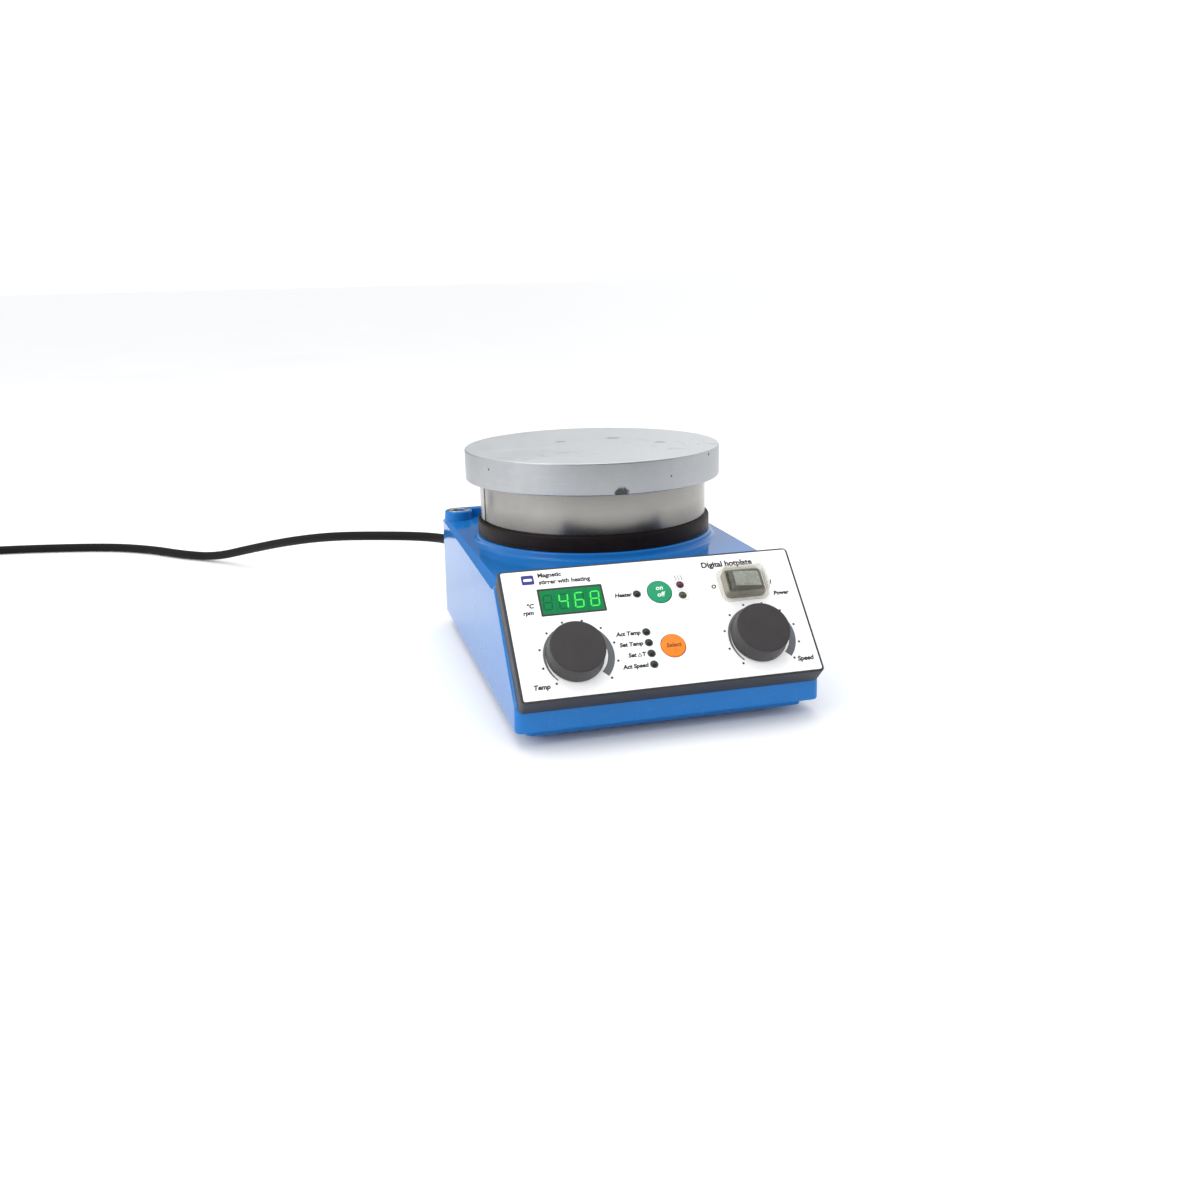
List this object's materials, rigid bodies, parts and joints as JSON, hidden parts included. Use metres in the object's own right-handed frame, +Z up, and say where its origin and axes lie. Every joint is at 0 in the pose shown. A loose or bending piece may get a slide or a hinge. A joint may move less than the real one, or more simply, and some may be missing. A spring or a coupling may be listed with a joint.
{
  "type": "magnetic hotplate stirrer",
  "caption": "Hotplate stirrer with a round aluminium plate on a stainless skirt, a blue cast housing, a slanted panel with dials and keys, and a mains lead.",
  "frame": {"origin": "on the surface it stands on, under the middle of the box of the stirrer without its mains lead", "axes": "+Z up, the control panel faces -Y, +X to the right for someone who faces the panel"},
  "size_m": [0.611, 0.7664, 0.122],
  "materials": {
    "blue_paint": "gloss enamel",
    "black_rubber": "satin",
    "zinc_screw": "zinc plated",
    "turned_steel": "turned",
    "bezel_plastic": "fine texture",
    "label_film": "printed film",
    "display_filter": "green filter",
    "display_case": "cast",
    "circuit_board": "solder mask",
    "black_parts": "moulded",
    "led_lens": "domed lens",
    "green_key": "satin",
    "orange_key": "satin",
    "knob_plastic": "satin",
    "switch_plastic": "moulded",
    "rocker_lens": "smoked",
    "clear_boot": "clear",
    "plate_aluminium": "machined and worn",
    "ceramic_part": "unglazed",
    "fibre_board": "fibre",
    "skirt_steel": "brushed stainless",
    "copper_winding": "enamelled",
    "magnet_nickel": "nickel plated",
    "cord_rubber": "satin",
    "plug_plastic": "moulded",
    "pin_metal": "nickel plated"
  },
  "bodies": {
    "root": {"upper_housing": "blue_paint", "base_pan": "blue_paint", "rubber_feet": "black_rubber", "seal_ring": "black_rubber", "housing_screws": "zinc_screw", "small_screws": "zinc_screw", "head_screws": "zinc_screw", "rod_socket": "turned_steel", "front_bezel": "bezel_plastic", "panel_label": "label_film", "display_window": "display_filter", "display_block": "display_case", "control_board": "circuit_board", "power_board": "circuit_board", "control_parts": "black_parts", "board_parts": "black_parts", "led_lenses": "led_lens", "potentiometers": "turned_steel", "pot_nuts": "turned_steel", "switch_frame": "switch_plastic", "switch_boot": "clear_boot", "top_plate": "plate_aluminium", "heating_element": "ceramic_part", "clamp_plate": "turned_steel", "insulation_disc": "fibre_board", "heat_shield": "skirt_steel", "plate_sensor": "turned_steel", "skirt": "skirt_steel", "head_posts": "turned_steel", "heater_leads": "copper_winding", "terminal_block": "ceramic_part", "motor_can": "turned_steel", "motor_end_cap": "turned_steel", "motor_bearings": "turned_steel", "motor_bracket": "skirt_steel", "stator": "copper_winding", "board_standoffs": "switch_plastic", "transformer": "copper_winding", "heat_sink": "plate_aluminium", "sensor_socket": "switch_plastic", "fuse_holder": "switch_plastic", "fuse_cap": "switch_plastic", "cord_gland": "switch_plastic", "strain_relief": "cord_rubber", "cord_lead": "cord_rubber", "cord_coil": "cord_rubber", "cord_tail": "cord_rubber", "mains_plug": "plug_plastic", "plug_pins": "pin_metal"},
    "temp_dial": {"temp_shaft": "turned_steel", "temp_knob": "knob_plastic"},
    "speed_dial": {"speed_shaft": "turned_steel", "speed_knob": "knob_plastic"},
    "heater_button": {"heater_key": "green_key"},
    "select_button": {"select_key": "orange_key"},
    "power_rocker": {"switch_rocker": "rocker_lens"},
    "rotor": {"rotor_core": "turned_steel", "motor_shaft": "turned_steel", "magnet_carrier": "turned_steel", "drive_magnets": "magnet_nickel"}
  },
  "joints": [
    {"name": "temp_turn", "type": "hinge", "parent": "root", "child": "temp_dial", "pos_m": [-0.0465, -0.09724, 0.03435], "axis": [0, -0.7145, 0.6997], "range_deg": [-135, 135]},
    {"name": "speed_turn", "type": "hinge", "parent": "root", "child": "speed_dial", "pos_m": [0.0465, -0.09724, 0.03435], "axis": [0, -0.7145, 0.6997], "range_deg": [-135, 135]},
    {"name": "heater_press", "type": "slide", "parent": "root", "child": "heater_button", "axis": [0, 0.7145, -0.6997], "range_m": [0, 0.0008], "stiffness_N_per_m": 600},
    {"name": "select_press", "type": "slide", "parent": "root", "child": "select_button", "axis": [0, 0.7145, -0.6997], "range_m": [0, 0.0008], "stiffness_N_per_m": 600},
    {"name": "power_rock", "type": "hinge", "parent": "root", "child": "power_rocker", "pos_m": [0.0465, -0.08418, 0.06369], "axis": [0, 0.6997, 0.7145], "range_deg": [-14, 0]},
    {"name": "rotor_spin", "type": "hinge", "parent": "root", "child": "rotor", "pos_m": [0, 0.03191, 0.06], "axis": [0, 0, 1], "continuous": true}
  ]
}
